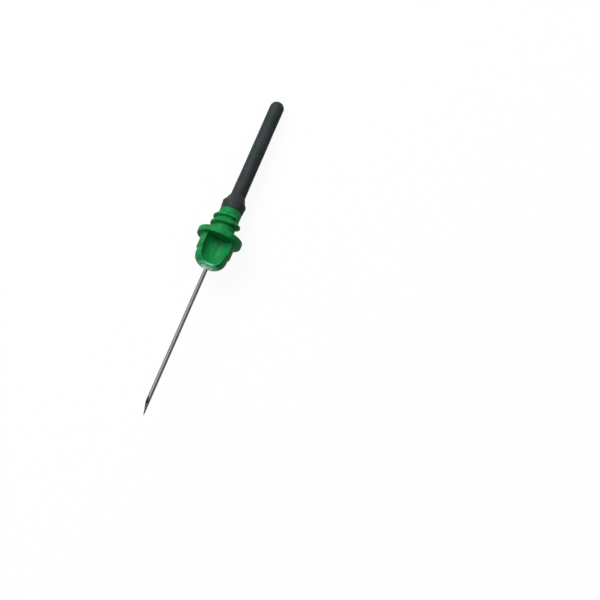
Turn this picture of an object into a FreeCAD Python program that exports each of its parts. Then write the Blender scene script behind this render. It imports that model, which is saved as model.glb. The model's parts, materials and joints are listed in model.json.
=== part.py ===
"""A double-ended blood collection needle for evacuated tubes.

One steel tube runs through a screw-in plastic hub. Its front end is bare and ground to a point, and its rear end
is closed in by a rubber sleeve, which a tube's stopper pushes back. Lengths are in millimetres.

Every piece is drawn about one line, the needle's axis, which is Z here: the front point is at 0 and the sleeve's
closed end is at the greatest Z. At the end the needle is laid down as it comes to rest, on the rim of its flange
and the end of its sleeve, with a thumb scoop up.
"""
import FreeCAD
import Part
import math
import os

Vector = FreeCAD.Vector

# Steel tube, 21 gauge
tube_radius = 0.41
tube_wall = 0.155
front_length = 32.4
rear_length = 21.3
front_bevel_length = 4.0
rear_bevel_length = 3.0
facet_share = 0.85
facet_turn = 45.0
bevel_turn = -50.0
keyed_depth = 0.02
keyed_margin = 0.1

# Running room of the tube in the hub
tube_clearance = 0.02

# Front shell of the hub
shell_length = 5.9
shell_radius = 3.55
cap_stop_height = 0.3
cap_seat_length = 2.85
nose_round_length = 2.1
nose_flat_radius = 1.6

# Thumb scoops, one above and one below
rim_width = 0.95
scoop_front_lip = 0.15
scoop_floor_height = 0.85
scoop_ramp_length = 3.6
core_wall = 0.5
core_draft = 0.12

# Flange that seats on the mouth of the holder
flange_radius = 4.6
flange_thickness = 1.25
flange_edge = 0.2

# Spigot with its coarse right-hand screw thread
spigot_radius = 2.25
spigot_length = 5.45
spigot_edge = 0.12
thread_height = 0.75
thread_pitch = 1.6
thread_turns = 1.7
thread_start = 1.47
thread_start_turn = 80.0
thread_root_width = 1.2
thread_crest_width = 0.5
thread_sink = 0.25
full_thread_end = 3.5
run_out_length = 1.0
pilot_clearance = 0.05
pilot_length = 0.35

# Barbed nipple that the rubber sleeve is pushed on
nipple_wall = 0.82
nipple_neck_length = 0.65
barb_height = 0.4
barb_land = 0.5
barb_taper_length = 1.6
nipple_end_wall = 0.5

# Adhesive well in the nose, and the adhesive
well_room = 0.85
well_draft = 0.45
well_depth = 1.3
bead_height = 0.55
bead_hollow = 0.08
bond_gap = 0.005

# Rubber sleeve
cavity_clearance = 0.39
sleeve_wall = 0.7
sleeve_end_wall = 1.6
point_room = 2.6
collar_wall = 0.8
collar_lip = 0.03
collar_land = 0.5
collar_bow = 0.03
shoulder_drop = 0.42
shoulder_length = 0.6
neck_length = 1.25
cavity_taper_length = 0.2
rubber_gap = 0.02

# Radii that follow from those sizes
tube_hole_radius = tube_radius + tube_clearance
cap_seat_radius = shell_radius - cap_stop_height
scoop_half_width = shell_radius - rim_width
scoop_depth = math.sqrt(shell_radius ** 2 - scoop_half_width ** 2) - scoop_floor_height
scoop_radius = (scoop_half_width ** 2 + scoop_depth ** 2) / 2 / scoop_depth
scoop_axis_height = scoop_floor_height + scoop_radius
scoop_front_radius = scoop_axis_height - nose_flat_radius - scoop_front_lip
core_radius = tube_hole_radius + core_wall
thread_crest_radius = spigot_radius + thread_height
nipple_radius = tube_hole_radius + nipple_wall
nipple_end_radius = tube_hole_radius + nipple_end_wall
barb_radius = nipple_radius + barb_height
well_mouth_radius = tube_hole_radius + well_room
cavity_radius = tube_radius + cavity_clearance
sleeve_radius = cavity_radius + sleeve_wall
collar_radius = barb_radius + collar_wall
collar_base_radius = spigot_radius + collar_lip

# Places along the axis that follow from those sizes
nose_z = front_length
flange_front_z = nose_z + shell_length
flange_back_z = flange_front_z + flange_thickness
spigot_end_z = flange_back_z + spigot_length
neck_end_z = spigot_end_z + nipple_neck_length
barb_end_z = neck_end_z + barb_land
nipple_end_z = barb_end_z + barb_taper_length
tube_end_z = spigot_end_z + rear_length
cavity_end_z = tube_end_z + point_room
sleeve_end_z = cavity_end_z + sleeve_end_wall
bead_crest_z = nose_z - bead_height


# Outlines and turned solids

def line(start, end):
    return Part.LineSegment(Vector(start[0], 0, start[1]), Vector(end[0], 0, end[1])).toShape()


def arc(start, through, end):
    points = [Vector(radius, 0, z) for radius, z in (start, through, end)]
    return Part.Arc(*points).toShape()


def polygon(points):
    return [line(start, end) for start, end in zip(points, points[1:] + points[:1])]


def turned(edges):
    """The solid that a closed outline, drawn as radius against Z, makes when it is turned about the axis."""
    outline = Part.Wire(edges)
    return Part.Face(outline).revolve(Vector(0, 0, 0), Vector(0, 0, 1), 360)


def cylinder(radius, start_z, end_z):
    return Part.makeCylinder(radius, end_z - start_z, Vector(0, 0, start_z))


def about_axis(shape, degrees):
    copy = shape.copy()
    copy.rotate(Vector(0, 0, 0), Vector(0, 0, 1), degrees)
    return copy


# The hub

def front_shell():
    """The round front shell: a blunt nose, a seat for the front cap, and a stop shoulder behind the seat."""
    round_end_z = nose_z + nose_round_length
    seat_end_z = nose_z + cap_seat_length
    stop_z = seat_end_z + cap_stop_height
    lean = math.acos(nose_flat_radius / cap_seat_radius)
    rise = nose_round_length / math.sin(lean)
    nose_middle = (cap_seat_radius * math.cos(lean / 2), round_end_z - rise * math.sin(lean / 2))
    return turned([
        line((0, nose_z), (nose_flat_radius, nose_z)),
        arc((nose_flat_radius, nose_z), nose_middle, (cap_seat_radius, round_end_z)),
        line((cap_seat_radius, round_end_z), (cap_seat_radius, seat_end_z)),
        line((cap_seat_radius, seat_end_z), (shell_radius, stop_z)),
        line((shell_radius, stop_z), (shell_radius, flange_front_z)),
        line((shell_radius, flange_front_z), (0, flange_front_z)),
        line((0, flange_front_z), (0, nose_z)),
    ])


def thumb_scoop():
    """The space of one thumb scoop, on the -Y side: a round trough whose floor sweeps up to the nose."""
    full_z = nose_z + scoop_ramp_length
    rise = scoop_radius - scoop_front_radius
    sweep_radius = (rise ** 2 + scoop_ramp_length ** 2) / 2 / rise
    half_sweep = math.asin(scoop_ramp_length / sweep_radius) / 2
    middle_radius = scoop_radius - sweep_radius * (1 - math.cos(half_sweep))
    middle = (middle_radius, full_z - sweep_radius * math.sin(half_sweep))
    trough = turned([
        line((0, nose_z), (scoop_front_radius, nose_z)),
        arc((scoop_front_radius, nose_z), middle, (scoop_radius, full_z)),
        line((scoop_radius, full_z), (scoop_radius, flange_front_z)),
        line((scoop_radius, flange_front_z), (0, flange_front_z)),
        line((0, flange_front_z), (0, nose_z)),
    ])
    trough.translate(Vector(0, -scoop_axis_height, 0))
    return trough


def core():
    """The round core that carries the tube through the scoops and shows as a low ridge in their floors."""
    return Part.makeCone(core_radius - core_draft, core_radius, shell_length, Vector(0, 0, nose_z))


def flange():
    """A full round disc with both rims broken."""
    inner = flange_radius - flange_edge
    return turned(polygon([
        (0, flange_front_z),
        (inner, flange_front_z),
        (flange_radius, flange_front_z + flange_edge),
        (flange_radius, flange_back_z - flange_edge),
        (inner, flange_back_z),
        (0, flange_back_z),
    ]))


def spigot():
    """The round spigot behind the flange, with the low pilot step that centres it in the holder's mouth."""
    pilot_radius = thread_crest_radius + pilot_clearance
    pilot_end_z = flange_back_z + pilot_length
    return turned(polygon([
        (0, flange_back_z),
        (pilot_radius, flange_back_z),
        (pilot_radius, pilot_end_z),
        (spigot_radius, pilot_end_z),
        (spigot_radius, spigot_end_z - spigot_edge),
        (spigot_radius - spigot_edge, spigot_end_z),
        (0, spigot_end_z),
    ]))


def ramp_room(end_z, turn):
    """What is cut off one end of the thread, beyond a plane that touches the spigot there, so that it ramps down."""
    depth = thread_crest_radius
    width = 4 * thread_crest_radius
    corner = Vector(spigot_radius, -width / 2, end_z - thread_pitch / 2)
    return about_axis(Part.makeBox(depth, width, thread_pitch, corner), turn)


def thread():
    """The coarse right-hand thread: a swept ridge with ramped ends, whose last turn runs out into the spigot."""
    start_z = flange_back_z + thread_start
    end_z = start_z + thread_pitch * thread_turns
    path = Part.makeLongHelix(thread_pitch, end_z - start_z, spigot_radius)
    path.translate(Vector(0, 0, start_z))
    inner = spigot_radius - thread_sink
    outer = thread_crest_radius + thread_sink
    slope = (thread_root_width - thread_crest_width) / 2 / thread_height
    half_inner = thread_root_width / 2 + slope * thread_sink
    half_outer = thread_crest_width / 2 - slope * thread_sink
    corners = [
        Vector(inner, 0, start_z - half_inner),
        Vector(outer, 0, start_z - half_outer),
        Vector(outer, 0, start_z + half_outer),
        Vector(inner, 0, start_z + half_inner),
    ]
    section = Part.makePolygon(corners + corners[:1])
    ridge = Part.Wire(path).makePipeShell([section], True, True)
    run_out_z = flange_back_z + full_thread_end
    envelope = turned(polygon([
        (0, flange_back_z),
        (thread_crest_radius, flange_back_z),
        (thread_crest_radius, run_out_z),
        (spigot_radius, run_out_z + run_out_length),
        (0, run_out_z + run_out_length),
    ]))
    ridge = ridge.common(envelope).cut([ramp_room(start_z, 0), ramp_room(end_z, 360 * thread_turns)])
    return about_axis(ridge, thread_start_turn)


def nipple_outline(gap):
    """The barbed nipple's outline, grown by a gap. The rubber collar is hollowed by the same outline."""
    return [
        (nipple_radius + gap, spigot_end_z),
        (nipple_radius + gap, neck_end_z - gap),
        (barb_radius + gap, neck_end_z - gap),
        (barb_radius + gap, barb_end_z),
        (nipple_end_radius + gap, nipple_end_z + gap),
    ]


def nipple():
    return turned(polygon([(0, spigot_end_z)] + nipple_outline(0) + [(0, nipple_end_z)]))


def well_outline(gap):
    """One side of the tapered adhesive well in the nose, drawn smaller by a gap for the adhesive that fills it."""
    return [
        (well_mouth_radius - gap, nose_z),
        (well_mouth_radius - well_draft - gap, nose_z + well_depth - gap),
    ]


def needle_hub():
    scoop = thumb_scoop()
    shell = front_shell().cut([scoop, about_axis(scoop, 180)])
    hub = shell.fuse([core(), flange(), spigot(), nipple(), thread()])
    hub = hub.removeSplitter()
    well = turned(polygon([(0, nose_z)] + well_outline(0) + [(0, nose_z + well_depth)]))
    passage = cylinder(tube_hole_radius, nose_z, nipple_end_z)
    return hub.cut([well, passage])


# The steel tube

def ground_plane(tip_z, length, turn, towards):
    """What one grinding pass takes off: all beyond a plane through the point, turned to one side for a facet."""
    lean = math.degrees(math.atan2(2 * tube_radius, length))
    size = 4 * length
    block = Part.makeBox(size, size, 2 * size, Vector(-size / 2, -size, -size))
    block.rotate(Vector(0, 0, 0), Vector(1, 0, 0), lean * towards)
    block.rotate(Vector(0, 0, 0), Vector(0, 0, 1), turn)
    block.translate(Vector(0, tube_radius, tip_z))
    return about_axis(block, bevel_turn)


def ground_point(tip_z, length, towards):
    """A lancet point: one long bevel, then two facets turned either way that meet it at the point."""
    facet_length = length * facet_share
    return [
        ground_plane(tip_z, length, 0, towards),
        ground_plane(tip_z, facet_length, -facet_turn, towards),
        ground_plane(tip_z, facet_length, facet_turn, towards),
    ]


def keyed_waist():
    """What is ground off the bonded stretch to key the bond, from just before the adhesive to the hub's shoulder."""
    start_z = bead_crest_z - keyed_margin
    middle_z = (start_z + spigot_end_z) / 2
    outside = tube_radius + keyed_depth
    return turned([
        arc((tube_radius, start_z), (tube_radius - keyed_depth, middle_z), (tube_radius, spigot_end_z)),
        line((tube_radius, spigot_end_z), (outside, spigot_end_z)),
        line((outside, spigot_end_z), (outside, start_z)),
        line((outside, start_z), (tube_radius, start_z)),
    ])


def cannula():
    """One steel tube, open from end to end, with a ground point at each."""
    tube = cylinder(tube_radius, 0, tube_end_z)
    tube = tube.cut(cylinder(tube_radius - tube_wall, 0, tube_end_z))
    tube = tube.cut(keyed_waist())
    tube = tube.cut(ground_point(0, front_bevel_length, 1))
    return tube.cut(ground_point(tube_end_z, rear_bevel_length, -1))


# The rubber sleeve and the adhesive

def rubber_sleeve():
    """A collar stretched over the barb, a conical neck, and a long thin tube with a round closed end."""
    crown_z = barb_end_z + collar_land
    shoulder_z = crown_z + shoulder_length
    neck_z = shoulder_z + neck_length
    dome_z = sleeve_end_z - sleeve_radius
    dome_side = sleeve_radius * math.cos(math.pi / 4)
    bow = ((collar_base_radius + collar_radius) / 2 + collar_bow, (spigot_end_z + crown_z) / 2)
    outside = turned([
        line((0, spigot_end_z), (collar_base_radius, spigot_end_z)),
        arc((collar_base_radius, spigot_end_z), bow, (collar_radius, crown_z)),
        line((collar_radius, crown_z), (collar_radius - shoulder_drop, shoulder_z)),
        line((collar_radius - shoulder_drop, shoulder_z), (sleeve_radius, neck_z)),
        line((sleeve_radius, neck_z), (sleeve_radius, dome_z)),
        arc((sleeve_radius, dome_z), (dome_side, dome_z + dome_side), (0, sleeve_end_z)),
        line((0, sleeve_end_z), (0, spigot_end_z)),
    ])
    inside = turned(polygon([(0, spigot_end_z)] + nipple_outline(rubber_gap) + [
        (cavity_radius, nipple_end_z + cavity_taper_length),
        (cavity_radius, cavity_end_z),
        (0, cavity_end_z),
    ]))
    return outside.cut(inside)


def adhesive_bead():
    """The cured adhesive: it fills the well and climbs the tube a little way in front of the nose."""
    mouth, bottom = well_outline(bond_gap)
    inner = tube_radius + bond_gap
    crest = (inner, bead_crest_z)
    hollow = ((inner + mouth[0]) / 2 - bead_hollow, (bead_crest_z + nose_z) / 2 + bead_hollow)
    return turned([
        line((inner, bottom[1]), bottom),
        line(bottom, mouth),
        arc(mouth, hollow, crest),
        line(crest, (inner, bottom[1])),
    ])


# Laying the needle down

def rest_tilt():
    """How far the axis leans from level, in degrees, when the flange's rim and the sleeve's end both touch."""
    back = sleeve_end_z - sleeve_radius - (flange_back_z - flange_edge)
    across = math.hypot(back, flange_radius)
    return math.degrees(math.atan2(flange_radius, back) - math.asin(sleeve_radius / across))


def lay_down(pieces):
    """Turn the axis from Z to +Y, lower the sleeve's end to the floor, and put the origin under the middle."""
    laid = {}
    for name, piece in pieces.items():
        laid[name] = piece.copy()
        laid[name].rotate(Vector(0, 0, 0), Vector(1, 0, 0), -90 - rest_tilt())
    boxes = [piece.optimalBoundingBox(False) for piece in laid.values()]
    middle_x = (min(box.XMin for box in boxes) + max(box.XMax for box in boxes)) / 2
    middle_y = (min(box.YMin for box in boxes) + max(box.YMax for box in boxes)) / 2
    floor_z = min(box.ZMin for box in boxes)
    for piece in laid.values():
        piece.translate(Vector(-middle_x, -middle_y, -floor_z))
    return laid


def main():
    os.makedirs("parts", exist_ok=True)
    pieces = {
        "needle_hub": needle_hub(),
        "cannula": cannula(),
        "rubber_sleeve": rubber_sleeve(),
        "adhesive_bead": adhesive_bead(),
    }
    for name, piece in lay_down(pieces).items():
        piece.exportStep(os.path.join("parts", name + ".step"))


main()
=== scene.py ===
"""The looks of a blood collection needle: a ground steel tube, its moulded screw-in hub, the adhesive that
holds the tube in the hub's nose, and the black rubber sleeve over the tube's rear end.

Each piece is shaped in millimetres about the needle's own axis, which is z: the front point is at z = 0,
the sleeve's closed end is at the greatest z, and the thumb scoop that lies uppermost faces -y. A size named
for its part alone is a radius, and a turn is in degrees.
"""

import json
import math

import bpy
import numpy as np
from mathutils import Matrix, Vector


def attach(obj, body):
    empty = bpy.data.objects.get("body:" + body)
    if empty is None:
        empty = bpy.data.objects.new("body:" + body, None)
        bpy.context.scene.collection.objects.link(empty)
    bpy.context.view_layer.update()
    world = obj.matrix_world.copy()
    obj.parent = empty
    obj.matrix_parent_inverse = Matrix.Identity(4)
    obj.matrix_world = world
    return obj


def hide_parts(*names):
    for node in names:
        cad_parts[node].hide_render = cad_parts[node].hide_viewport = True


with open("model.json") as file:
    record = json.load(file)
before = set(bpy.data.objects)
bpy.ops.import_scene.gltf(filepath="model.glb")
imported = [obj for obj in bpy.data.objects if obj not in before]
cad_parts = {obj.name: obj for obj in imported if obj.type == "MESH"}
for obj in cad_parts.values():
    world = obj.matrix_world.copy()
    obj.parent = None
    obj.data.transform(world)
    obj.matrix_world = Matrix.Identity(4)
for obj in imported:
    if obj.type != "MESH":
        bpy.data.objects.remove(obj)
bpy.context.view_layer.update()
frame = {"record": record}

MM = 0.001

# Steel tube, across and at its ground points
TUBE = 0.41
TUBE_WALL = 0.155
BORE = TUBE - TUBE_WALL
FRONT_BEVEL = 4.0
REAR_BEVEL = 3.0
FACET_SHARE = 0.85
FACET_TURN = 45.0
BEVEL_TURN = -50.0
KEYED_DEPTH = 0.02

# Front shell and thumb scoops of the hub
HUB_START = 32.4
NOSE_FLAT = 1.6
NOSE_ARC = 2.38
SHELL = 3.55
SHELL_RIM = 0.95
SHELL_RUN_ON = 0.6
CAP_STOP_HEIGHT = 0.3
CAP_SEAT = SHELL - CAP_STOP_HEIGHT
CAP_SEAT_END = HUB_START + 2.85
NOSE_ARC_OUT = CAP_SEAT - NOSE_ARC
NOSE_ARC_Z = HUB_START + math.sqrt(NOSE_ARC ** 2 - (NOSE_FLAT - NOSE_ARC_OUT) ** 2)
FLANGE_FRONT = HUB_START + 5.9
SCOOP_HALF = SHELL - SHELL_RIM
SCOOP_FLOOR = 0.85
SCOOP_DEPTH = math.sqrt(SHELL ** 2 - SCOOP_HALF ** 2) - SCOOP_FLOOR
SCOOP = (SCOOP_HALF ** 2 + SCOOP_DEPTH ** 2) / 2 / SCOOP_DEPTH
SCOOP_AXIS = SCOOP_FLOOR + SCOOP
SCOOP_LIP = 0.15
SCOOP_RISE = NOSE_FLAT + SCOOP_LIP - SCOOP_FLOOR
SCOOP_RAMP = 3.6
SCOOP_SWEEP = (SCOOP_RISE ** 2 + SCOOP_RAMP ** 2) / 2 / SCOOP_RISE

# Flange, spigot and thread
FLANGE = 4.6
FLANGE_BACK = FLANGE_FRONT + 1.25
SPIGOT = 2.25
SPIGOT_END = FLANGE_BACK + 5.45
THREAD_START = FLANGE_BACK + 1.47
THREAD_PITCH = 1.6
THREAD_TURNS = 1.7
THREAD_START_TURN = 80.0
THREAD_HEIGHT = 0.75
THREAD_SINK = 0.3
THREAD_ROOT_WIDTH = 1.2
THREAD_CREST_WIDTH = 0.5
THREAD_RAMP_TURN = 44.0
THREAD_FULL_END = FLANGE_BACK + 3.5
PILOT = SPIGOT + THREAD_HEIGHT + 0.05
PILOT_END = FLANGE_BACK + 0.35

# Nipple, tube passage and core
PASSAGE = TUBE + 0.02
CORE_BACK = PASSAGE + 0.5
CORE_FRONT = CORE_BACK - 0.12
NIPPLE = PASSAGE + 0.82
NIPPLE_TIP = PASSAGE + 0.5
BARB = NIPPLE + 0.4
NECK_END = SPIGOT_END + 0.65
BARB_END = NECK_END + 0.5
NIPPLE_END = BARB_END + 1.6

# Adhesive and the well that it fills
WELL_MOUTH = PASSAGE + 0.85
WELL_BOTTOM = WELL_MOUTH - 0.45
WELL_END = HUB_START + 1.3
BOND_GAP = 0.005
BEAD_CREST = HUB_START - 0.55
BEAD_CURVE = 0.97
BEAD_STEEPNESS = 1.2

# The hub's eased edges and fillets, and how far each reaches
NOSE_EDGE = 0.12
CAP_STOP_EDGE = 0.12
CAP_STOP_FILLET = 0.08
SCOOP_EDGE = 0.24
CORE_FILLET = 0.35
FLANGE_EDGE = 0.24
FLANGE_FILLET = 0.4
PILOT_EDGE = 0.08
PILOT_FILLET = 0.12
SPIGOT_EDGE = 0.12
SPIGOT_FILLET = 0.25
THREAD_EDGE = 0.24
THREAD_FILLET = 0.3
BARB_EDGE = 0.1
WELL_EDGE = 0.08

# Rubber sleeve over the rear end of the tube
TUBE_END = SPIGOT_END + 21.3
CAVITY = TUBE + 0.39
CAVITY_END = TUBE_END + 2.6
CAVITY_TAPER_LENGTH = 0.2
SLEEVE = CAVITY + 0.7
SLEEVE_TAPER = 0.05
SLEEVE_TIP = SLEEVE - SLEEVE_TAPER
SLEEVE_END = CAVITY_END + 1.6
SLEEVE_SWAY = 0.012
SWAY_COLLAR_LENGTH = 1.5
SWAY_TIP_LENGTH = 3
COLLAR_BASE = SPIGOT + 0.03
COLLAR = BARB + 0.8
COLLAR_CROWN = BARB_END + 0.5
SHOULDER = COLLAR - 0.42
SHOULDER_END = COLLAR_CROWN + 0.6
NECK_START = SHOULDER_END + 1.25
RUBBER_GAP = 0.02

# Roundings of the sleeve's corners
COLLAR_BASE_ARC = 0.12
COLLAR_ARC = 0.5
SHOULDER_ARC = 0.9
NECK_ARC = 1.6

# How finely the meshes are made
HUB_STEP = 0.1
HUB_MARGIN = 0.25
TUBE_COLUMNS = 96
TUBE_BEVEL_ROWS = 13
TUBE_MIDDLE_ROWS = 40
TUBE_BEVEL_ROOM = 0.4
TUBE_ROW_GAP = 1.0
TUBE_FACE_SHARES = (0.25, 0.5, 0.75)
TUBE_SHARP_TURN = 25
SLEEVE_COLUMNS = 96
SLEEVE_LONGEST_RUN = 0.5
ARC_PARTS = 8
DOME_PARTS = 16
POLE_CAP = 0.02
BEAD_COLUMNS = 64
BEAD_PARTS = 12
SOFT_SHARP_TURN = 50

# Camera, lamp and floor: places and distances in metres, lens and sensor in millimetres, power in watts
CAMERA_AT = (0.0, -0.091722, 0.402333)
CAMERA_TURNS = (10.7302, -7.5671, 22.7772)
CAMERA_LENS = 125
CAMERA_SENSOR = 36
CAMERA_NEAREST = 0.01
LAMP_AIM = (0, 0, 0.005)
LAMP_SIDE = (-0.68, 0.36, 0.86)
LAMP_DISTANCE = 1.4
LAMP_SIZE = 0.84
LAMP_POWER = 24.8
FLOOR_REACH = 2.0


# Where the needle lies, and how a piece is set on it

def needle_place():
    """The place of the needle's own axes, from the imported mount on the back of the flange."""
    seat = next(mount for mount in frame["record"]["mounts"] if mount["name"] == "holder_seat")
    along = Vector(seat["axis"]).normalized()
    across = Vector((1, 0, 0))
    down = along.cross(across)
    turn = Matrix((across, down, along)).transposed().to_4x4()
    front_point = Vector(seat["pos_m"]) - along * (FLANGE_BACK * MM)
    return Matrix.Translation(front_point) @ turn


NEEDLE_PLACE = needle_place()


def piece(name, points, faces, slot, *finishes):
    """A smooth mesh object that stands for the CAD node of the same name."""
    mesh = bpy.data.meshes.new(name + "_mesh")
    turn = np.array(NEEDLE_PLACE.to_3x3())
    spots = np.asarray(points) * MM @ turn.T + np.array(NEEDLE_PLACE.translation)
    mesh.from_pydata(spots.tolist(), [], [list(face) for face in faces])
    mesh.validate()
    mesh.shade_smooth()
    made = bpy.data.objects.new(name + "_look", mesh)
    bpy.context.scene.collection.objects.link(made)
    for finish in finishes:
        mesh.materials.append(finish)
    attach(made, "root")
    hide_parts(name)
    return made


# The moulded hub, whose solids are distances, negative inside

def soft_max(a, b, soft):
    """Where two solids overlap, with the edge between them eased over a width of soft."""
    near = np.maximum(soft - np.abs(a - b), 0) / soft
    return np.maximum(a, b) + near * near * soft / 4


def soft_min(a, b, soft):
    """Two solids joined, with a fillet in the corner between them."""
    return -soft_max(-a, -b, soft)


def disc(rho, z, radius, start, end, edge):
    """A round disc or bar with its edges rounded."""
    out = rho - radius + edge
    up = np.abs(z - (start + end) / 2) - (end - start) / 2 + edge
    return np.hypot(np.maximum(out, 0), np.maximum(up, 0)) + np.minimum(np.maximum(out, up), 0) - edge


def front_shell(rho, z):
    """The blunt nose, the seat that the front cap grips, and the stop shoulder behind it."""
    nose = np.hypot(np.maximum(rho - NOSE_ARC_OUT, 0), np.minimum(z - NOSE_ARC_Z, 0)) - NOSE_ARC
    nose = soft_max(nose, HUB_START - z, NOSE_EDGE)
    stop = (rho - CAP_SEAT + CAP_SEAT_END - z) * math.sqrt(0.5)
    behind_stop = soft_max(rho - SHELL, stop, CAP_STOP_EDGE)
    return np.maximum(soft_min(nose, behind_stop, CAP_STOP_FILLET), z - FLANGE_FRONT - SHELL_RUN_ON)


def thumb_scoops(x, y, z):
    """The round troughs above and below, whose floors sweep up to the nose."""
    ahead = np.clip(HUB_START + SCOOP_RAMP - z, 0, SCOOP_RAMP)
    radius = SCOOP - SCOOP_SWEEP + np.sqrt(SCOOP_SWEEP ** 2 - ahead ** 2)
    return np.hypot(x, np.abs(y) - SCOOP_AXIS) - radius


def thread(x, y, z, rho):
    """The coarse right-hand thread: a ridge that ramps up at both ends and fades in its last turn."""
    slope = (THREAD_ROOT_WIDTH - THREAD_CREST_WIDTH) / 2 / THREAD_HEIGHT
    turn = (np.arctan2(y, x) - math.radians(THREAD_START_TURN)) / (2 * math.pi) % 1
    fade = np.clip(z - THREAD_FULL_END, 0, None) * THREAD_HEIGHT
    ridges = []
    for lap in range(2):
        at = turn + lap
        ramp = np.clip(np.minimum(at, THREAD_TURNS - at) * 360 / THREAD_RAMP_TURN, 0, 1)
        ramp = ramp * (2 - ramp)
        crest = rho - (SPIGOT - THREAD_SINK + (THREAD_HEIGHT + THREAD_SINK) * ramp - fade)
        half_width = THREAD_ROOT_WIDTH / 2 - slope * (rho - SPIGOT)
        flank = (np.abs(z - THREAD_START - THREAD_PITCH * at) - half_width) / math.hypot(1, slope)
        ridges.append(soft_max(crest, flank, THREAD_EDGE))
    return np.minimum(ridges[0], ridges[1])


def nipple(rho, z):
    """The neck behind the spigot, and the barb that the rubber sleeve is pushed over."""
    neck = np.maximum(rho - NIPPLE, z - BARB_END)
    taper = (BARB - NIPPLE_TIP) / (NIPPLE_END - BARB_END)
    cone = (rho - BARB + np.maximum(z - BARB_END, 0) * taper) / math.hypot(1, taper)
    barb = soft_max(soft_max(cone, NECK_END - z, BARB_EDGE), z - NIPPLE_END, BARB_EDGE)
    return np.minimum(neck, barb)


def hub_solid(x, y, z):
    """The whole moulding, as a distance."""
    rho = np.hypot(x, y)
    shell = soft_max(front_shell(rho, z), -thumb_scoops(x, y, z), SCOOP_EDGE)
    core_radius = CORE_FRONT + (CORE_BACK - CORE_FRONT) * (z - HUB_START) / (FLANGE_FRONT - HUB_START)
    core = np.maximum(np.maximum(rho - core_radius, HUB_START - z), z - FLANGE_BACK)
    hub = soft_min(shell, core, CORE_FILLET)
    flange = disc(rho, z, FLANGE, FLANGE_FRONT, FLANGE_BACK, FLANGE_EDGE)
    hub = soft_min(hub, flange, FLANGE_FILLET)
    pilot = disc(rho, z, PILOT, FLANGE_FRONT, PILOT_END, PILOT_EDGE)
    hub = soft_min(hub, pilot, PILOT_FILLET)
    spigot = disc(rho, z, SPIGOT, FLANGE_FRONT, SPIGOT_END, SPIGOT_EDGE)
    screw = soft_min(spigot, thread(x, y, z, rho), THREAD_FILLET)
    hub = soft_min(hub, screw, SPIGOT_FILLET)
    hub = np.minimum(hub, np.maximum(nipple(rho, z), FLANGE_BACK - z))
    well_radius = WELL_MOUTH + (WELL_BOTTOM - WELL_MOUTH) * (z - HUB_START) / (WELL_END - HUB_START)
    well = np.maximum(rho - well_radius, z - WELL_END)
    hub = soft_max(hub, -well, WELL_EDGE)
    return np.maximum(hub, PASSAGE - rho)


# A mesh over a solid: one point in each cell of a grid that the surface crosses

CORNERS = [(i, j, k) for i in (0, 1) for j in (0, 1) for k in (0, 1)]
EDGES = [(a, b) for a in range(8) for b in range(a)
         if sum(np.abs(np.subtract(CORNERS[a], CORNERS[b]))) == 1]


def skin(solid, low, high, step):
    """The points and quads of the surface at which a solid's distance is nought."""
    ticks = [np.arange(start, end + step / 10, step) for start, end in zip(low, high)]
    depth = solid(*np.meshgrid(*ticks, indexing="ij"))
    inside = depth < 0
    shape = np.array(inside.shape) - 1
    filled = np.zeros(shape, int)
    for corner in CORNERS:
        filled += inside[tuple(slice(c, c + n) for c, n in zip(corner, shape))]
    crossed = (filled > 0) & (filled < 8)
    cells = np.argwhere(crossed)
    number = np.full(shape, -1)
    number[crossed] = np.arange(len(cells))
    points = np.array(low) + step * (cells + middle_of_cuts(depth, cells))
    return settle(solid, points, step), quads_between(inside, number)


def middle_of_cuts(depth, cells):
    """The middle of the spots at which the surface cuts a cell's edges, as shares of the cell."""
    depths = np.stack([depth[tuple((cells + corner).T)] for corner in CORNERS], 1)
    total = np.zeros((len(cells), 3))
    count = np.zeros((len(cells), 1))
    for a, b in EDGES:
        first, second = depths[:, a], depths[:, b]
        cut = (first < 0) != (second < 0)
        share = np.where(cut, first / np.where(cut, first - second, 1), 0)[:, None]
        spot = np.array(CORNERS[a]) + share * np.subtract(CORNERS[b], CORNERS[a])
        total += spot * cut[:, None]
        count += cut[:, None]
    return total / count


def quads_between(inside, number):
    """A quad through the four cells round each grid line on which the solid starts or stops."""
    quads = []
    for k in range(3):
        a, b = (k + 1) % 3, (k + 2) % 3
        here = np.take(inside, range(inside.shape[k] - 1), axis=k)
        there = np.take(inside, range(1, inside.shape[k]), axis=k)
        for leaves, order in ((here & ~there, 1), (~here & there, -1)):
            spots = np.argwhere(leaves)
            ring = []
            for back_a, back_b in ((1, 1), (0, 1), (0, 0), (1, 0)):
                cell = spots.copy()
                cell[:, a] -= back_a
                cell[:, b] -= back_b
                ring.append(number[tuple(cell.T)])
            quads.append(np.stack(ring[::order], 1))
    return np.concatenate(quads)


def settle(solid, points, step):
    """Moves points on to the solid's exact surface, along its slope, in two goes."""
    small = step / 20
    least_steepness = 0.25
    for _ in range(2):
        depth = solid(*points.T)
        slope = np.stack([solid(*(points + small * side).T) - depth for side in np.eye(3)], 1) / small
        steepness = np.maximum((slope ** 2).sum(1), least_steepness)
        points = points - np.clip(depth / steepness, -step / 2, step / 2)[:, None] * slope
    return points


# Outlines of radius against z, and turning them about the axis

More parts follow.
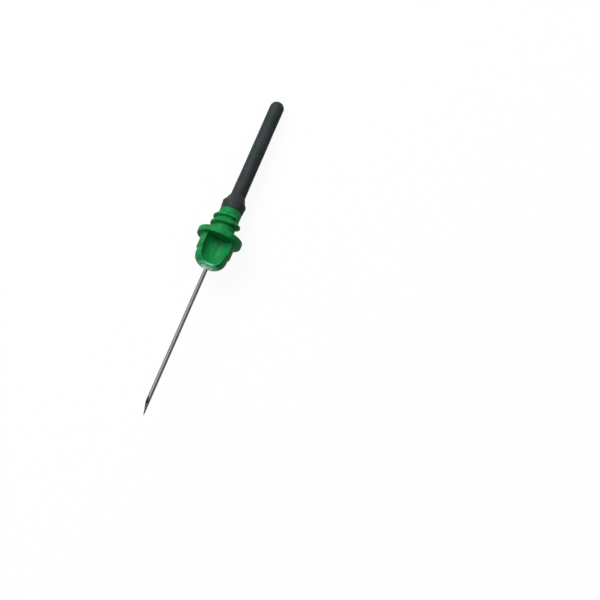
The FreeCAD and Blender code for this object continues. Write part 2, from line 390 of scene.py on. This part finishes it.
def eased(corners):
    """An outline through corners given as (radius, z, rounding), each corner replaced with an arc."""
    outline = []
    for index, (r, z, rounding) in enumerate(corners):
        here = np.array((r, z))
        if rounding == 0 or index in (0, len(corners) - 1):
            outline.append(here)
            continue
        before = np.array(corners[index - 1][:2]) - here
        after = np.array(corners[index + 1][:2]) - here
        before /= np.linalg.norm(before)
        after /= np.linalg.norm(after)
        half = math.acos(np.clip(before @ after, -1, 1)) / 2
        sweep = math.pi - 2 * half
        reach = rounding / math.tan(half)
        centre = here + (before + after) / np.linalg.norm(before + after) * rounding / math.sin(half)
        start = here + before * reach - centre
        end = here + after * reach - centre
        for share in np.linspace(0, 1, ARC_PARTS + 1):
            way = start * math.sin((1 - share) * sweep) + end * math.sin(share * sweep)
            outline.append(centre + way / math.sin(sweep))
    return np.array(outline)


def spread(outline, longest):
    """The same outline with points added on its long runs."""
    filled = [outline[0]]
    for start, end in zip(outline, outline[1:]):
        parts = max(1, math.ceil(np.linalg.norm(end - start) / longest))
        filled += [start + (end - start) * share / parts for share in range(1, parts + 1)]
    return np.array(filled)


def woven(rows, columns, closed):
    """The quads between neighbouring rows of points round the axis. If closed, the last joins the first."""
    faces = []
    for row in range(rows if closed else rows - 1):
        after = (row + 1) % rows
        for column in range(columns):
            beside = (column + 1) % columns
            faces.append((row * columns + column, row * columns + beside,
                          after * columns + beside, after * columns + column))
    return faces


def turned(outline, columns, closed, sway=None):
    """An outline turned about the axis, and capped at both ends if it isn't closed. sway says how far each
    point stands out."""
    angle = np.linspace(0, 2 * math.pi, columns, endpoint=False)[None, :]
    radius = outline[:, :1] + 0 * angle
    z = outline[:, 1:] + 0 * angle
    if sway:
        radius = radius + sway(radius, angle, z)
    points = np.stack([radius * np.cos(angle), radius * np.sin(angle), z], 2).reshape(-1, 3)
    faces = woven(len(outline), columns, closed)
    if not closed:
        last = len(points) - columns
        faces += [range(columns)[::-1], range(last, last + columns)]
    return points, faces


def sleeve_outline():
    """The sleeve's outline from axis to axis: down the cavity, round the collar, and up the outside."""
    dome = SLEEVE_END - SLEEVE_TIP
    inside = [
        (POLE_CAP, CAVITY_END),
        (CAVITY, CAVITY_END),
        (CAVITY, NIPPLE_END + CAVITY_TAPER_LENGTH),
        (NIPPLE_TIP + RUBBER_GAP, NIPPLE_END + RUBBER_GAP),
        (BARB + RUBBER_GAP, BARB_END),
        (BARB + RUBBER_GAP, NECK_END - RUBBER_GAP),
        (NIPPLE + RUBBER_GAP, NECK_END - RUBBER_GAP),
    ]
    outside = eased([
        (NIPPLE + RUBBER_GAP, SPIGOT_END, 0),
        (COLLAR_BASE, SPIGOT_END, COLLAR_BASE_ARC),
        (COLLAR, COLLAR_CROWN, COLLAR_ARC),
        (SHOULDER, SHOULDER_END, SHOULDER_ARC),
        (SLEEVE, NECK_START, NECK_ARC),
        (SLEEVE_TIP, dome, 0),
    ])
    rises = np.linspace(0, math.pi / 2, DOME_PARTS + 1)[1:-1]
    cap = [(SLEEVE_TIP * math.cos(rise), dome + SLEEVE_TIP * math.sin(rise)) for rise in rises]
    outline = np.concatenate([inside, outside, cap, [(POLE_CAP, SLEEVE_END)]])
    return spread(outline, SLEEVE_LONGEST_RUN)


def sleeve_sway(radius, angle, z):
    """The slight unevenness of moulded rubber, less than a hair, which dies away at both ends."""
    from_collar = np.clip((z - SPIGOT_END) / SWAY_COLLAR_LENGTH, 0, 1)
    from_tip = np.clip((SLEEVE_END - z) / SWAY_TIP_LENGTH, 0, 1)
    oval = np.sin(2 * angle + 0.21 * z) * np.sin(0.43 * z)
    three_sided = 0.6 * np.sin(3 * angle - 0.37 * z + 1.1)
    return -SLEEVE_SWAY * (from_collar * from_tip) * (radius > SLEEVE_TIP) * (1 + (oval + three_sided))


def bead_outline():
    """The adhesive's closed outline: its fillet up the tube, and the plug of it that fills the well."""
    inner = TUBE + BOND_GAP
    mouth = WELL_MOUTH - BOND_GAP
    bottom = WELL_BOTTOM - BOND_GAP
    fillet = []
    for share in np.linspace(0, 1, BEAD_PARTS + 1):
        fall = 1 - math.sqrt(1 - (1 - share) ** 2 * BEAD_CURVE)
        climb = (HUB_START - BEAD_CREST) * min(1, fall * BEAD_STEEPNESS)
        fillet.append((inner + (mouth - inner) * share, HUB_START - climb))
    plug = [(bottom, WELL_END - BOND_GAP), (inner, WELL_END - BOND_GAP)]
    return np.array(fillet + plug)


# The ground steel tube

def bevel_height(radius, angle, length):
    """How far behind the point the ground face lies: a long bevel, and two facets that meet at the tip."""
    x, y = radius * np.cos(angle), radius * np.sin(angle)
    height = (TUBE - y) * length / (2 * TUBE)
    for turn in (-FACET_TURN, FACET_TURN):
        lean = math.radians(turn)
        facet = (x * math.sin(lean) + (TUBE - y) * math.cos(lean)) * length * FACET_SHARE / (2 * TUBE)
        height = np.maximum(height, facet)
    return height


def wall_heights(radius, angle):
    """The heights of the rows along a wall of the tube, front to rear. They lean near the ground ends."""
    front_edge = bevel_height(radius, angle, FRONT_BEVEL)
    front_end = FRONT_BEVEL + TUBE_BEVEL_ROOM
    rear_edge = TUBE_END - bevel_height(radius, angle, REAR_BEVEL)
    rear_start = TUBE_END - REAR_BEVEL - TUBE_BEVEL_ROOM
    shares = np.linspace(0, 1, TUBE_BEVEL_ROWS)
    middle = np.linspace(front_end + TUBE_ROW_GAP, rear_start - TUBE_ROW_GAP, TUBE_MIDDLE_ROWS)
    return ([front_edge + (front_end - front_edge) * share for share in shares]
            + [z + 0 * angle for z in middle]
            + [rear_start + (rear_edge - rear_start) * share for share in shares])


def keyed_depth(z):
    """How far the tube is drawn in where the adhesive and the hub hold it."""
    share = np.clip((z - BEAD_CREST) / (SPIGOT_END - BEAD_CREST), 0, 1)
    return KEYED_DEPTH * np.sin(share * math.pi)


def tube_mesh():
    """Points and faces, along the outside, over the rear face, back through the bore and over the front
    face, and for each row of points whether it is ground."""
    angle = np.linspace(0, 2 * math.pi, TUBE_COLUMNS, endpoint=False)
    rows = [(TUBE - keyed_depth(z), z, False) for z in wall_heights(TUBE, angle)]
    for share in TUBE_FACE_SHARES:
        radius = TUBE + (BORE - TUBE) * share
        rows.append((radius, TUBE_END - bevel_height(radius, angle, REAR_BEVEL), True))
    rows += [(BORE, z, True) for z in wall_heights(BORE, angle)[::-1]]
    for share in TUBE_FACE_SHARES:
        radius = BORE + (TUBE - BORE) * share
        rows.append((radius, bevel_height(radius, angle, FRONT_BEVEL), True))

    angle = angle + math.radians(BEVEL_TURN)
    points = [np.stack([radius * np.cos(angle), radius * np.sin(angle), z], 1) for radius, z, _ in rows]
    ground = [is_ground for _, _, is_ground in rows]
    return np.concatenate(points), woven(len(rows), TUBE_COLUMNS, True), ground


# Finishes

class Link:
    """A node's output. Sums on it add the nodes that work them out."""

    def __init__(self, nodes, socket):
        self.nodes = nodes
        self.socket = socket

    def out(self, name):
        """Another output of the same node."""
        return Link(self.nodes, self.socket.node.outputs[name])

    def sum(self, operation, first, second):
        """A Math node's result."""
        return self.nodes.node("ShaderNodeMath", {"operation": operation}, {0: first, 1: second})

    def __add__(self, other):
        return self.sum("ADD", self, other)

    def __mul__(self, other):
        return self.sum("MULTIPLY", self, other)

    def __pow__(self, other):
        return self.sum("POWER", self, other)

    def __abs__(self):
        return self.sum("ABSOLUTE", self, 0)

    __radd__ = __add__
    __rmul__ = __mul__


class Nodes:
    """A tree of nodes, and the one way to add to it."""

    def __init__(self, tree):
        self.tree = tree

    def node(self, kind, settings=None, values=None, output=0):
        """Adds a node: its settings first, then the values or links of its sockets."""
        made = self.tree.nodes.new(kind)
        for name, setting in (settings or {}).items():
            setattr(made, name, setting)
        for name, value in (values or {}).items():
            self.join(value, made.inputs[name])
        return Link(self, made.outputs[output])

    def join(self, value, socket):
        """Links a node to a socket, or sets the socket to a plain value."""
        if isinstance(value, Link):
            self.tree.links.new(value.socket, socket)
        else:
            socket.default_value = value

    def between(self, value, low, high):
        """0 below low and 1 above high, eased between them. low may be the greater."""
        return self.node("ShaderNodeMapRange", {"interpolation_type": "SMOOTHSTEP"},
                         {"Value": value, "From Min": low, "From Max": high})

    def blend(self, share, first, second):
        """One colour into another."""
        return self.node("ShaderNodeMix", {"data_type": "RGBA"}, {0: share, 6: first, 7: second}, 2)

    def unlit_path(self):
        """1 for the camera's rays and for those in metal and glass, 0 for the rays that light things."""
        path = self.node("ShaderNodeLightPath", output="Is Camera Ray")
        return path + path.out("Is Glossy Ray") + path.out("Is Transmission Ray")


class Finish(Nodes):
    """One material. Its values that are the same all over are set on the shader itself."""

    def __init__(self, name, **values):
        self.material = bpy.data.materials.new(name)
        self.material.use_nodes = True
        super().__init__(self.material.node_tree)
        self.shader = self.tree.nodes["Principled BSDF"]
        for socket, value in values.items():
            self.shader.inputs[socket.replace("_", " ")].default_value = value

    def place(self, stretch=(1, 1, 1)):
        """The place on the needle in millimetres, squeezed or stretched along its axes."""
        where = self.node("ShaderNodeTexCoord", output="Object")
        along = self.node("ShaderNodeMapping", {"vector_type": "TEXTURE"},
                          {"Vector": where, "Location": NEEDLE_PLACE.translation,
                           "Rotation": NEEDLE_PLACE.to_euler(), "Scale": (MM, MM, MM)})
        return self.node("ShaderNodeVectorMath", {"operation": "MULTIPLY"}, {0: along, 1: stretch})

    def grain(self, scale, detail, stretch=(1, 1, 1), roughness=0.5):
        """Noise from 0 to 1, with its scale in waves a millimetre."""
        return self.node("ShaderNodeTexNoise", {}, {"Vector": self.place(stretch), "Scale": scale,
                                                    "Detail": detail, "Roughness": roughness})

    def set(self, socket, value):
        """Sets or links a socket of the shader."""
        self.join(value, self.shader.inputs[socket])

    def bumps(self, height, depth, under=None):
        """The normal of a surface with a height from 0 to 1 that stands for a depth in millimetres."""
        values = {"Height": height, "Strength": 1.0, "Distance": depth * MM}
        if under:
            values["Normal"] = under
        return self.node("ShaderNodeBump", {}, values)


def moulded_green():
    """Satin green plastic with flow marks and a mould parting line. Its pale edges are partly stress
    whitening and partly painted highlight, and its pale nose is partly adhesive film and partly painted
    highlight.
    """
    green = Finish("moulded_green", IOR=1.49, Specular_IOR_Level=0.10)
    axes = green.node("ShaderNodeSeparateXYZ", {}, {0: green.place()})
    x, y, z = (axes.out(name) for name in "XYZ")
    rho = (x * x + y * y) ** 0.5
    cloud = green.grain(0.45, 3.0)
    flow = green.grain(1.3, 4.0, (1, 1, 0.25))
    fine = green.grain(9.0, 3.0)

    deep = (0.004, 0.155, 0.035, 1)
    plain = (0.006, 0.195, 0.046, 1)
    pale = (0.012, 0.245, 0.068, 1)
    pale_edge_and_highlight = (0.06, 0.38, 0.17, 1)
    frosted_film_and_highlight = (0.17, 0.62, 0.34, 1)
    colour = green.blend(green.between(cloud * 0.5 + flow * 0.5, 0.36, 0.58), deep, plain)
    colour = green.blend(green.between(flow, 0.52, 0.75) * 0.7, colour, pale)
    # Pale edges: partly stress whitening of the moulding, partly painted highlight where the rims catch the
    # light, painted stronger near the nose.
    edge = green.between(green.node("ShaderNodeNewGeometry", output="Pointiness"), 0.515, 0.60)
    near_nose_highlight = green.between(z, HUB_START + 2.8, HUB_START + 1.2)
    colour = green.blend(edge * (0.45 + near_nose_highlight * 0.4), colour, pale_edge_and_highlight)
    # The pale nose is partly adhesive film spread over it and partly painted highlight.
    on_nose = green.between(rho, 2.6, 1.7) * green.between(z, HUB_START + 0.6, HUB_START + 0.2)
    colour = green.blend(on_nose * 0.85, colour, frosted_film_and_highlight)
    green.set("Base Color", colour)
    green.set("Roughness", 0.48 + cloud * 0.10 + fine * 0.06)

    parting_line = green.between(abs(y), 0.045, 0.02)
    normal = green.bumps(fine, 0.012)
    normal = green.bumps(parting_line, 0.02, normal)
    green.set("Normal", green.bumps(flow, 0.04, normal))
    return green.material


def drawn_steel():
    """A drawn stainless tube: fine lines along it, faint haze and a slightly warm tone."""
    steel = Finish("drawn_steel", Metallic=1.0, Specular_Tint=(0.4, 0.4, 0.4, 1))
    lines = steel.grain(22.0, 3.0, (1, 1, 0.02))
    haze = steel.grain(0.8, 3.0)
    dark = (0.16, 0.158, 0.152, 1)
    light = (0.23, 0.226, 0.218, 1)
    steel.set("Base Color", steel.blend(lines * 0.6 + haze * 0.4, dark, light))
    steel.set("Roughness", 0.50 + lines * 0.12 + haze * 0.08)
    steel.set("Normal", steel.bumps(lines, 0.004))
    return steel.material


def ground_steel_painted_shade():
    """The ground faces of the points, with the wheel's marks across them, and the dull wall of the bore.
    Their dark colour is painted shade: far darker than steel, it stands in for the shade in the bore and at
    the points.
    """
    steel = Finish("ground_steel_painted_shade", Metallic=1.0, Specular_Tint=(0.4, 0.4, 0.4, 1))
    marks = steel.grain(3.0, 4.0, (0.6, 0.6, 14))
    # Both tones are painted shade, far below the tone of bare steel.
    dark = (0.03, 0.03, 0.03, 1)
    light = (0.075, 0.075, 0.073, 1)
    steel.set("Base Color", steel.blend(marks, dark, light))
    steel.set("Roughness", 0.30 + marks * 0.16)
    steel.set("Normal", steel.bumps(marks, 0.004))
    return steel.material


def sleeve_rubber():
    """Black rubber with a soft sheen, a cloudy bloom, specks of dust and fine moulding grain."""
    rubber = Finish("sleeve_rubber", IOR=1.5, Specular_IOR_Level=0.15)
    cloud = rubber.grain(0.5, 4.0, (1, 1, 0.4), 0.6)
    bloom = rubber.grain(3.5, 4.0, (1, 1, 0.6), 0.65)
    specks = rubber.grain(7.0, 1.0)
    fine = rubber.grain(16.0, 3.0)

    black = (0.018, 0.024, 0.025, 1)
    faded = (0.027, 0.036, 0.037, 1)
    bloomed = (0.046, 0.054, 0.055, 1)
    dust = (0.14, 0.15, 0.15, 1)
    colour = rubber.blend(rubber.between(cloud, 0.35, 0.65), black, faded)
    colour = rubber.blend(rubber.between(bloom, 0.48, 0.72) * 0.6, colour, bloomed)
    colour = rubber.blend(rubber.between(specks, 0.77, 0.81) * 0.4, colour, dust)
    rubber.set("Base Color", colour)
    rubber.set("Roughness", 0.52 + bloom * 0.16 + fine * 0.06)
    rubber.set("Normal", rubber.bumps(bloom, 0.012, rubber.bumps(fine, 0.006)))
    return rubber.material


def cured_adhesive():
    """Pale adhesive, satin and faintly clouded. Its green is painted: it stands in for the green hub seen
    through the clear adhesive. Its paleness is partly its own colour and partly painted highlight.
    """
    adhesive = Finish("cured_adhesive", IOR=1.52)
    cloud = adhesive.grain(2.5, 3.0)
    # The green is painted, for the hub seen through clear adhesive; the paler tone is partly painted
    # highlight.
    painted_hub_green = (0.30, 0.66, 0.42, 1)
    pale = (0.46, 0.80, 0.58, 1)
    adhesive.set("Base Color", adhesive.blend(adhesive.between(cloud, 0.3, 0.7), painted_hub_green, pale))
    adhesive.set("Roughness", 0.28 + cloud * 0.12)
    adhesive.set("Coat Weight", 0.1 + cloud * 0.1)
    adhesive.set("Normal", adhesive.bumps(cloud, 0.02))
    return adhesive.material


# The four pieces

def make_hub():
    reach = FLANGE + HUB_MARGIN
    low = (-reach, -reach, HUB_START - HUB_MARGIN)
    high = (reach, reach, NIPPLE_END + HUB_MARGIN)
    points, quads = skin(hub_solid, low, high, HUB_STEP)
    piece("needle_hub", points, quads, "hub_plastic", moulded_green())


def make_cannula():
    points, faces, ground = tube_mesh()
    made = piece("cannula", points, faces, "needle_steel", drawn_steel(), ground_steel_painted_shade())
    for index, face in enumerate(made.data.polygons):
        row = index // TUBE_COLUMNS
        face.material_index = int(ground[row] or ground[(row + 1) % len(ground)])
    made.data.set_sharp_from_angle(angle=math.radians(TUBE_SHARP_TURN))


def make_sleeve():
    points, faces = turned(sleeve_outline(), SLEEVE_COLUMNS, False, sleeve_sway)
    made = piece("rubber_sleeve", points, faces, "sleeve_rubber", sleeve_rubber())
    made.data.set_sharp_from_angle(angle=math.radians(SOFT_SHARP_TURN))


def make_bead():
    points, faces = turned(bead_outline(), BEAD_COLUMNS, True)
    made = piece("adhesive_bead", points, faces, "clear_adhesive", cured_adhesive())
    made.data.set_sharp_from_angle(angle=math.radians(SOFT_SHARP_TURN))


# Floor, light and camera

def make_floor():
    """A plain pale floor that shows near white and keeps a faint shadow."""
    mesh = bpy.data.meshes.new("floor_mesh")
    sides = ((-1, -1), (1, -1), (1, 1), (-1, 1))
    corners = [(FLOOR_REACH * across, FLOOR_REACH * along, 0) for across, along in sides]
    mesh.from_pydata(corners, [], [(0, 1, 2, 3)])
    floor = bpy.data.objects.new("floor", mesh)
    bpy.context.scene.collection.objects.link(floor)
    finish = Finish("pale_floor", Roughness=0.9, Specular_IOR_Level=0.0)
    seen = finish.unlit_path()
    grey = (0.40, 0.40, 0.40, 1)
    pale = (0.85, 0.85, 0.85, 1)
    finish.set("Base Color", finish.blend(seen, grey, pale))
    lit = Link(finish, finish.shader.outputs[0])
    white = finish.node("ShaderNodeEmission", {}, {"Color": (1, 1, 1, 1), "Strength": 1.0})
    mixed = finish.node("ShaderNodeMixShader", {}, {0: seen * 0.94, 1: lit, 2: white})
    finish.join(mixed, finish.tree.nodes["Material Output"].inputs["Surface"])
    mesh.materials.append(finish.material)


def make_room():
    """A plain room: pale walls low down, and a dim ceiling."""
    world = bpy.data.worlds.new("room")
    world.use_nodes = True
    bpy.context.scene.world = world
    room = Nodes(world.node_tree)
    where = room.node("ShaderNodeTexCoord", output="Generated")
    height = room.node("ShaderNodeSeparateXYZ", {}, {0: where}, "Z")
    dim = (0.25, 0.25, 0.25, 1)
    pale = (0.50, 0.50, 0.50, 1)
    colour = room.blend(room.between(height, 0.30, 0.0), dim, pale)
    room.join(colour, world.node_tree.nodes["Background"].inputs["Color"])


def make_key_lamp():
    """A soft square lamp that stands well off to one side of the needle and faces its middle."""
    light = bpy.data.lights.new("key_lamp", "AREA")
    light.size = LAMP_SIZE
    light.energy = LAMP_POWER
    lamp = bpy.data.objects.new("key_lamp", light)
    bpy.context.scene.collection.objects.link(lamp)
    way = Vector(LAMP_SIDE).normalized()
    lamp.location = Vector(LAMP_AIM) + way * LAMP_DISTANCE
    lamp.rotation_euler = way.to_track_quat("Z", "Y").to_euler()


def make_camera():
    """The camera looks down on the needle from its front end, with the sleeve leaning to the right."""
    data = bpy.data.cameras.new("camera")
    data.lens = CAMERA_LENS
    data.sensor_width = CAMERA_SENSOR
    data.clip_start = CAMERA_NEAREST
    camera = bpy.data.objects.new("camera", data)
    bpy.context.scene.collection.objects.link(camera)
    camera.location = CAMERA_AT
    camera.rotation_euler = [math.radians(turn) for turn in CAMERA_TURNS]
    bpy.context.scene.camera = camera


make_hub()
make_cannula()
make_sleeve()
make_bead()
make_floor()
make_room()
make_key_lamp()
make_camera()
bpy.context.scene.view_settings.view_transform = "Standard"
